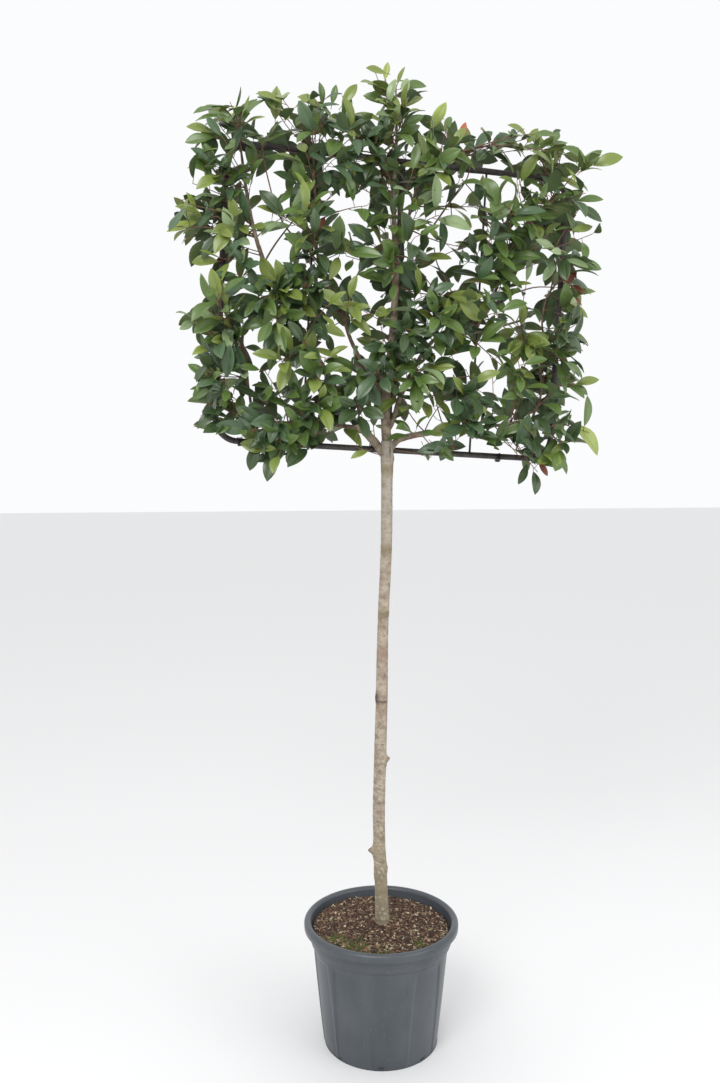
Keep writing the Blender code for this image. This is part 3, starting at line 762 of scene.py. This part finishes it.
def make_pot():
    """The container: its profile, up the inside, over the rolled lip and down the wall, turned round Z."""
    turn = np.linspace(math.pi, -math.pi / 2, 20)[:15]
    lip = np.stack([LIP_MIDDLE[0] + LIP_BEAD * np.cos(turn), LIP_MIDDLE[1] + LIP_BEAD * np.sin(turn)], -1)
    t = np.linspace(0.02, 1, 12)
    inside = np.stack([INSIDE_FOOT[0] + 0.0285 * t, INSIDE_FOOT[1] + 0.26 * t], -1)
    t = np.linspace(1, 0, 60)
    wall = np.stack([FOOT_RADIUS + (WALL_TOP_RADIUS - FOOT_RADIUS) * t**0.9, 0.002 + 0.262 * t], -1)
    above = np.vstack([POT_FLOOR, INSIDE_FOOT, inside, INSIDE_NECK, lip, UNDER_LIP])
    profile = np.vstack([above, wall, POT_UNDERSIDE])
    radius, z = np.repeat(profile[:, :1], POT_SIDES, axis=1), np.repeat(profile[:, 1:], POT_SIDES, axis=1)
    on_wall = slice(len(above), len(above) + len(wall))
    radius[on_wall] -= panel_relief(round_angles(POT_SIDES), z[on_wall])
    plastic = mottled("slate_plastic", (0.048, 0.057, 0.066), (0.074, 0.084, 0.096), 0.36, 9, (0.12, 900),
                      ((0.105, 0.11, 0.112), 150, 0.68), (1, 1, 0.6))
    quads = grid_faces(len(profile), POT_SIDES, closed=True)[:, ::-1]
    pot = surface("pot_shell", revolve(radius, z), [quads], [plastic])
    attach(pot, "root")
    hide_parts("pot")


def soil_height(x, y):
    """Height of the soil: a low heap round the stem, lower on the right, with two sizes of lumps."""
    away = np.hypot(x, y)
    flat = np.stack([x, y, 0 * x], -1)
    lumps = ripple(flat, 0.045, 41) * 0.0016 + ripple(flat, 0.016, 42) * 0.0011
    heap = SOIL_TOP - 0.006 * (away / 0.17) ** 2 - 0.022 * x + 0.006 * np.exp(-(away / 0.05) ** 2)
    return heap + lumps


def make_soil():
    """The soil: rings and spokes raised to soil_height, over a plug that reaches down to the pot's floor."""
    plug = np.array(SOIL_PLUG)
    radii = np.concatenate([np.linspace(0, SOIL_RADIUS, 70), plug[:, 0]])
    radius = np.repeat(radii[:, None], SOIL_SPOKES, axis=1)
    angle = round_angles(SOIL_SPOKES)
    z = soil_height(radius * np.cos(angle), radius * np.sin(angle))
    z[-len(plug):] = plug[:, 1:]
    earth = mottled("bark_mulch", (0.018, 0.011, 0.008), (0.075, 0.042, 0.026), 0.95, 90, (0.9, 350),
                    ((0.15, 0.09, 0.055), 140, 0.6))
    quads = grid_faces(len(radii), SOIL_SPOKES, closed=True)
    soil = surface("soil_top", revolve(radius, z), [quads], [earth])
    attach(soil, "root")
    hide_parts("soil")


def box_faces():
    """Outward quads of a box of three by two by two points, numbered along its length last."""
    faces = [(0, 1, 3, 2), (8, 10, 11, 9)]
    for a in (4, 0):
        sides = [(0, 4, 5, 1), (2, 3, 7, 6), (0, 2, 6, 4), (1, 5, 7, 3)]
        faces = [tuple(a + corner for corner in side) for side in sides] + faces
    return np.array(faces)


def make_chips(rng):
    """Chips of bark on the soil.

    Each is a flat box with uneven corners and sunk ends, turned, tilted and rolled at random, in one of five
    colours. Its three axes are its heading, tilted up, the level line across that, and the line square to
    both.
    """
    count = 5600
    away = LITTER_RADIUS * np.sqrt(rng.uniform(0.012, 1, count))
    turn = rng.uniform(0, 2 * math.pi, count)
    x, y = away * np.cos(turn), away * np.sin(turn)
    length = 0.0038 + 0.0125 * rng.beta(1.3, 3.8, count)
    width, thickness = length * rng.uniform(0.16, 0.46, count), length * rng.uniform(0.1, 0.24, count)
    size = np.stack([length, width, thickness], -1)
    ends = (-0.5, 0.5)
    corners = np.stack(np.meshgrid(np.linspace(*ends, 3), ends, ends, indexing="ij"), -1).reshape(-1, 3)
    box = corners[None] * size[:, None] * (1 + 0.35 * rng.uniform(-1, 1, (count, 12, 3)))
    box[:, :, 2] -= (corners[:, 0] ** 2 * 0.5)[None] * size[:, None, 0]
    heading = rng.uniform(0, 2 * math.pi, count)
    tilt, roll = rng.normal(0, 0.35, count), rng.normal(0, 0.5, count)
    ax = np.stack([np.cos(heading) * np.cos(tilt), np.sin(heading) * np.cos(tilt), np.sin(tilt)], -1)
    level = np.stack([-np.sin(heading), np.cos(heading), 0 * heading], -1)
    square = np.cross(ax, level)
    cosine, sine = np.cos(roll)[:, None], np.sin(roll)[:, None]
    ay, az = level * cosine + square * sine, square * cosine - level * sine
    place = np.stack([x, y, soil_height(x, y) + 0.0009 + 0.15 * thickness], -1)
    points = place[:, None] + box[..., :1] * ax[:, None] + box[..., 1:2] * ay[:, None]
    points = points + box[..., 2:] * az[:, None]
    faces = box_faces()[None] + (np.arange(count) * 12)[:, None, None]
    kinds = rng.choice(len(CHIP_FINISHES), count, p=[share for _, _, _, share in CHIP_FINISHES])
    finishes = [plain("chip_" + name, colour, roughness) for name, colour, roughness, _ in CHIP_FINISHES]
    tones = [np.repeat(kinds, 10)]
    chips = surface("mulch_chips", points, [faces.reshape(-1, 4)], finishes, tones, smooth=False)
    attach(chips, "root")


def make_moss(rng):
    """Moss on the soil: short leaning blades, one triangle each, scattered about four places."""
    count = 5200
    patches = np.array(MOSS_PATCHES)
    which = rng.choice(len(patches), count, p=patches[:, 3])
    x = patches[which, 0] + rng.normal(0, 0.5, count) * patches[which, 2]
    y = patches[which, 1] + rng.normal(0, 0.5, count) * patches[which, 2]
    keep = np.hypot(x, y) < LITTER_RADIUS
    x, y = x[keep], y[keep]
    foot = np.stack([x, y, soil_height(x, y) + 0.0005], -1)
    lean = unit(np.stack([rng.normal(0, 0.6, len(x)), rng.normal(0, 0.6, len(x)), np.ones(len(x))], -1))
    tall = rng.uniform(0.0015, 0.0042, len(x))
    flat = unit(np.cross(lean, rng.normal(size=(len(x), 3)))) * 0.0006
    blades = np.stack([foot - flat, foot + flat, foot + lean * tall[:, None]], 1)
    green = plain("moss", (0.15, 0.2, 0.05), 0.9)
    moss = surface("moss", blades, [np.arange(len(x) * 3).reshape(-1, 3)], [green])
    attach(moss, "root")


def seen_on_panel(points):
    """Where the camera sees points on the plane y = 0: along the line from the camera through each."""
    eye = np.array(CAMERA_PLACE)
    way = points - eye
    share = -eye[1] / way[..., 1]
    hit = eye + way * share[..., None]
    return hit[..., 0], hit[..., 2]


def inside_outline(x, z):
    """Whether points lie inside the outline: an odd number of its sides cross the level line to the right."""
    corners = np.array(OUTLINE) / 1000
    following = np.roll(corners, -1, axis=0)
    spans = (corners[:, 1] > z[..., None]) != (following[:, 1] > z[..., None])
    rise = np.where(following[:, 1] == corners[:, 1], 1e-9, following[:, 1] - corners[:, 1])
    cross = corners[:, 0] + (z[..., None] - corners[:, 1]) / rise * (following[:, 0] - corners[:, 0])
    return (spans & (x[..., None] < cross)).sum(-1) % 2 == 1


def in_gap(x, z):
    """Whether a point lies in one of the gaps, each an ellipse drawn in a little for the leaf's own width."""
    gaps = np.array(GAPS) / 1000
    off = ((x - gaps[:, 0]) / gaps[:, 2]) ** 2 + ((z - gaps[:, 1]) / gaps[:, 3]) ** 2
    return (off < GAP_SHARE).any()


def leaf_points(feet, heads, normals, widths, droops, folds, waves):
    """Points of many leaves, for their upper and their lower faces.

    A leaf's midrib runs from foot to head, and at a share t of its length it arches up by droop times its
    length times t times (1 less t). Its half width there is half the leaf's width times the 0.8th power of
    1 less (2 t^1.12 - 1)^2, and a little less near the tip. Its halves rise from the midrib by the fold and
    swell between midrib and edge, and the edge waves.
    """
    t = np.linspace(0, 1, LEAF_ROWS)
    u = np.array(LEAF_COLUMNS)
    run = heads - feet
    length = np.linalg.norm(run, axis=1)
    along = unit(run)
    normals = unit(normals - (normals * along).sum(1, keepdims=True) * along)
    side = np.cross(along, normals)
    bend = (-normals * droops[:, None] * length[:, None])[:, None]
    spine = feet[:, None] + run[:, None] * t[None, :, None] + bend * (t**2 - t)[None, :, None]
    heading = unit(run[:, None] + bend * (2 * t - 1)[None, :, None])
    rise = np.cross(side[:, None], heading)
    half = (1 - (2 * t**1.12 - 1) ** 2).clip(0) ** 0.8 * (1 - 0.25 * t**6)
    half = np.maximum(half[None] * widths[:, None] / 2, 0.0002)
    crown = folds[:, None] * np.abs(u) + 0.16 * np.sin(math.pi * np.abs(u))
    wave = waves[:, None, None] * np.abs(u) * np.sin(t[:, None] * 9 + 2.0 * np.sign(u))[None]
    top = spine[:, :, None] + side[:, None, None] * (half[:, :, None] * u)[..., None]
    top = top + rise[:, :, None] * (half[:, :, None] * (crown[:, None] + wave))[..., None]
    under = top[:, :, [0, 2, 5]].copy()
    under[:, :, 1] = (top[:, :, 2] + top[:, :, 3]) / 2 - rise * 0.0006
    return top, under


def leaf_finishes():
    """Three finishes for each tone: the upper face, the paler underside with painted backlight, and the
    midrib between the two.
    """
    finishes = []
    for tone, colour in TONES.items():
        colour = np.array(colour)
        dull = tone in DULL_TONES
        # The underside is paler in its own colour, and on top of that it is painted lighter and yellower, as
        # painted light shining through the leaf from behind
        under = colour * 0.45 + np.array((0.085, 0.12, 0.045)) * (0.3 if dull else 0.55)
        midrib = colour * 0.6 + np.array((0.12, 0.15, 0.05)) * (0.3 if dull else 0.6)
        finishes.append(plain("leaf_" + tone, colour, 0.55 if dull else 0.36, 0.0 if dull else 0.18))
        finishes.append(plain("under_pale_and_backlit_" + tone, under, 0.6))
        finishes.append(plain("midrib_" + tone, midrib, 0.5))
    return finishes


def make_leaves(name, feet, heads, normals, widths, tones, seed):
    """One piece of leaves: upper faces in their tones with a strip for the midrib, and undersides."""
    rng = np.random.default_rng(seed)
    count = len(feet)
    droops = rng.normal(0.3, 0.16, count)
    folds = rng.uniform(0.05, 0.42, count)
    waves = rng.uniform(0.0, 0.1, count)
    top, under = leaf_points(feet, heads, normals, widths, droops, folds, waves)
    columns = len(LEAF_COLUMNS)
    upper = grid_faces(LEAF_ROWS, columns, copies=count)[:, ::-1]
    lower = grid_faces(LEAF_ROWS, 3, copies=count) + count * LEAF_ROWS * columns
    number = 3 * np.array([list(TONES).index(tone) for tone in tones])
    strip = np.tile(np.array((0, 0, 2, 0, 0)), (count, LEAF_ROWS - 1, 1)) + number[:, None, None]
    beneath = np.repeat(number + 1, 2 * (LEAF_ROWS - 1))
    points = np.concatenate([top.reshape(-1, 3), under.reshape(-1, 3)])
    piece = surface(name, points, [upper, lower], leaf_finishes(), [strip.reshape(-1), beneath])
    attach(piece, "root")


def grow_shoots():
    """Grows shoots from the boughs into every foliage mass by a seeded rule.

    A shoot's tip is drawn in the outer half of the mass's ellipsoid, and left out where the camera sees it
    past the outline. Its heading leans out from the panel, up, and away from the middle. Its foot is the
    bough point nearest to a place 9 cm back along the heading, with depth counted 0.6, and it is left out
    where that is too far. Its line is a quadratic curve through a middle that is bent at random and sags.
    Gives each shoot's line, heading, tip and radius.
    """
    rng = np.random.default_rng(2024)
    bough_points = np.concatenate([limb_path(*limb)[0] for limb in LIMBS.values()])
    t = np.linspace(0, 1, SHOOT_POINTS)[:, None]
    shoots = []
    for node in sorted(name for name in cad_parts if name.startswith("foliage_")):
        low, high = (np.array(corner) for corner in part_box(node))
        middle, half = (low + high) / 2, (high - low) / 2
        thickness = SPARSE_TIP if node == "foliage_tip" else 1.0
        for _ in range(round(4 * half[0] * half[2] * SHOOTS_PER_METRE * thickness)):
            spot = unit(rng.normal(size=3)) * rng.uniform(0.25, 1) ** 0.5
            tip = middle + spot * half * SPREAD
            front = -1.0 if tip[1] < 0.012 else 1.0
            tip[1] += 0.01 * front
            if not inside_outline(*seen_on_panel(tip[None]))[0]:
                continue
            sideways = 0.55 * (tip[0] - PANEL_MIDDLE) / 0.5 + rng.normal(0, 0.35)
            outward = front * rng.uniform(0.35, 1.0)
            upward = 0.35 + 0.5 * max(0, (tip[2] - 2.0) / 0.35) + rng.normal(0, 0.35)
            heading = unit(np.array((sideways, outward, upward)))
            off = (bough_points - (tip - heading * 0.09)) * (1, 0.6, 1)
            foot = bough_points[np.argmin((off**2).sum(1))]
            reach = np.linalg.norm(tip - foot)
            if reach > LONGEST_SHOOT:
                continue
            bend = foot + (tip - foot) * 0.45 + rng.normal(0, 0.1, 3) * reach + UP * -0.04 * reach
            path = (1 - t) ** 2 * foot + 2 * t * (1 - t) * bend + t**2 * tip
            shoots.append((path, heading, tip, 0.0008 + 0.0075 * reach))
    return shoots


def tone_of(rng, tip):
    """A leaf tone, drawn from three sets by a lightness.

    That is 0.55 of how near the tip is to the top, plus 0.35 of how near to a side, plus a random part. This
    paints light and shade: leaves at the top, lit from behind, and at the sides get lighter tones, and the
    rest get darker ones as painted shade.
    """
    high = np.clip((tip[2] - 2.12) / 0.25, 0, 1)
    wide = np.clip((abs(tip[0] - PANEL_MIDDLE) - 0.36) / 0.15, 0, 1)
    light = high * 0.55 + wide * 0.35 + rng.uniform(-0.12, 0.22)
    # Painted light and shade: the first set is for leaves painted as lit, the middle one for half lit leaves,
    # the last for leaves in painted shade
    if light > 0.62:
        return rng.choice(("lime", "olive", "olive", "mid", "pale"))
    if light > 0.25:
        return rng.choice(("olive", "mid", "mid", "blue", "deep"))
    return rng.choice(("deep", "blue", "mid", "olive", "pale"), p=(0.26, 0.22, 0.3, 0.18, 0.04))


def leaves_on(rng, path, heading, tip):
    """The leaves of one shoot, each with its stalk's foot, its foot, head, normal, width and tone.

    They sit on the shoot's outer half, a golden angle apart round it, and stand off it less towards the tip.
    Those that the camera sees past the outline, or with their middle in a gap, are left out.
    """
    leaves = []
    spray_tone = tone_of(rng, tip)
    count = rng.integers(4, 8)
    start = rng.uniform(0, 2 * math.pi)
    first = unit(np.cross(heading, rng.normal(size=3)))
    second = np.cross(heading, first)
    face_way = np.array((0, -0.35 if heading[1] < 0 else 0.35, 0.35))
    for i in range(count):
        at = (1 - 0.62 * (1 - (i + 1) / count) ** 1.2) * (SHOOT_POINTS - 1)
        low = int(min(at, SHOOT_POINTS - 2))
        foot = path[low] + (path[low + 1] - path[low]) * (at - low)
        turn = start + i * GOLDEN
        round_way = first * math.cos(turn) + second * math.sin(turn)
        spread = math.radians(rng.uniform(48, 88) - 26 * (i + 1) / count)
        way = heading * math.cos(spread) + round_way * math.sin(spread) - UP * rng.uniform(0.05, 0.55)
        way = unit(way)
        length = rng.uniform(0.052, 0.088) * (0.8 if i == count - 1 else 1.0)
        begin = foot + way * (0.01 + 0.004 * rng.uniform())
        end = begin + way * length
        normal = unit(heading + rng.normal(0, 0.28, 3) + face_way)
        x, z = seen_on_panel(np.stack([begin, (begin + end) / 2, end]))
        if not inside_outline(x, z).all() or in_gap(x[1], z[1]):
            continue
        width = length * rng.uniform(0.33, 0.46)
        tone = spray_tone if rng.uniform() < 0.72 else tone_of(rng, tip)
        leaves.append((foot, begin, end, normal, width, tone))
    return leaves


def edge_leaf(rng, *row):
    """One listed leaf placed at the outline, facing the front, with a short stalk behind its foot."""
    x0, z0, x1, z1 = np.array(row[:4]) / 1000
    foot = np.array((x0, -0.012 + rng.normal(0, 0.012), z0))
    head = np.array((x1, foot[1] + rng.normal(-0.012, 0.012), z1))
    normal = unit(np.array((0.15, -0.9, 0.55)) + rng.normal(0, 0.25, 3))
    width = np.linalg.norm(head - foot) * rng.uniform(0.36, 0.46)
    return foot - unit(head - foot) * 0.012, foot, head, normal, width, row[4]


def make_stalks(rng, starts, ends):
    """The leaf stalks: straight thin tubes, brown or red at random."""
    t = np.linspace(0, 1, 3)[None, :, None]
    paths = starts[:, None] + (ends - starts)[:, None] * t
    points, blocks = tube_shells(paths, np.full(paths.shape[:2], 0.0008), 4)
    kinds = rng.integers(0, 2, len(paths))
    finishes = [plain(name, colour, 0.5) for name, colour in STALK_COLOURS.items()]
    tones = [np.repeat(kinds, 8), np.concatenate([kinds, kinds])]
    stalks = surface("leaf_stalks", points, blocks, finishes, tones)
    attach(stalks, "root")


def make_twigs(paths, radii):
    """The shoots as tapering tubes, and the thin bare shoots that show between the leaves."""
    young_bark = plain("young_bark", (0.16, 0.092, 0.058), 0.7)
    taper = 1 - 0.62 * np.linspace(0, 1, SHOOT_POINTS)
    points, blocks = tube_shells(paths, np.clip(radii[:, None] * taper, 0.0009, 0.003), 6)
    twigs = surface("twigs", points, blocks, [young_bark])
    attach(twigs, "root")
    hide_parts(*[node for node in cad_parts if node.startswith("foliage_")])
    bare = []
    for course in BARE_SHOOTS:
        flat = smooth_course(np.array(course) / 1000, 24 // (len(course) - 1))
        flat = flat[np.linspace(0, len(flat) - 1, 20).round().astype(int)]
        bare.append(np.stack([flat[:, 0], np.full(20, -0.004), flat[:, 1]], -1))
    radii = np.linspace(0.0024, 0.0013, 20)[None].repeat(len(bare), 0)
    points, blocks = tube_shells(np.array(bare), radii, 8)
    bare_shoots = surface("bare_shoots", points, blocks, [young_bark])
    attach(bare_shoots, "root")


def make_crown():
    """The leaves, stalks and twigs of the panel, each kind joined. A shoot needs two leaves to be made."""
    rng = np.random.default_rng(77)
    leaves, leafy = [], []
    for path, heading, tip, radius in grow_shoots():
        grown = leaves_on(rng, path, heading, tip)
        leaves += grown
        if len(grown) > 1:
            leafy.append((path, radius))
    leaves += [edge_leaf(rng, *leaf) for leaf in EDGE_LEAVES]
    starts, feet, heads, normals, widths, tones = (np.array(kind) for kind in zip(*leaves))
    order = rng.permutation(len(feet))
    for number, part in enumerate(np.array_split(order, 2)):
        chosen = (kind[part] for kind in (feet, heads, normals, widths, tones))
        make_leaves(f"leaves_{number + 1}", *chosen, 90 + number)
    make_stalks(rng, starts, feet)
    make_twigs(np.array([path for path, _ in leafy]), np.array([radius for _, radius in leafy]))


def make_lamp(name, place, size, power, aim):
    """A square soft light at a place, turned to face a point."""
    light = bpy.data.lights.new(name, "AREA")
    light.size = size
    light.energy = power
    lamp = add_object(name, light)
    way = np.array(aim) - np.array(place)
    lamp.location = place
    lamp.rotation_euler = (math.atan2(math.hypot(way[0], way[1]), -way[2]), 0.0, math.atan2(-way[0], way[1]))


def make_stage():
    """A pale floor, a pale surround, two soft lights and the camera."""
    reach = 30
    corners = [(-reach, -reach, 0), (reach, -reach, 0), (reach, reach, 0), (-reach, reach, 0)]
    white = plain("floor_white", (0.8, 0.8, 0.8), 0.7)
    floor = surface("floor", corners, [np.array([[0, 1, 2, 3]])], [white], smooth=False)
    scene = bpy.context.scene
    world = bpy.data.worlds.new("studio")
    world.use_nodes = True
    world.node_tree.nodes["Background"].inputs["Color"].default_value = (0.97, 0.975, 0.985, 1.0)
    scene.world = world
    make_lamp("key_light", (-1.6, -2.6, 3.6), 1.8, 72, (0.0, 0.0, 1.5))
    make_lamp("fill_light", (2.4, -2.2, 2.2), 2.0, 25, (0.0, 0.0, 1.2))
    camera = add_object("camera", bpy.data.cameras.new("camera"))
    camera.data.sensor_fit = "VERTICAL"
    camera.data.sensor_height = 36.0
    camera.data.lens = CAMERA_LENS
    camera.location = CAMERA_PLACE
    camera.rotation_euler = (math.pi / 2 - CAMERA_DIP, 0.0, -CAMERA_TURN)
    scene.camera = camera
    scene.view_settings.view_transform = "Standard"


make_mottle_group()
make_stage()
make_pot()
make_soil()
litter = np.random.default_rng(52)
make_chips(litter)
make_moss(litter)
make_trunk()
make_boughs()
make_trellis()
make_ties()
make_crown()
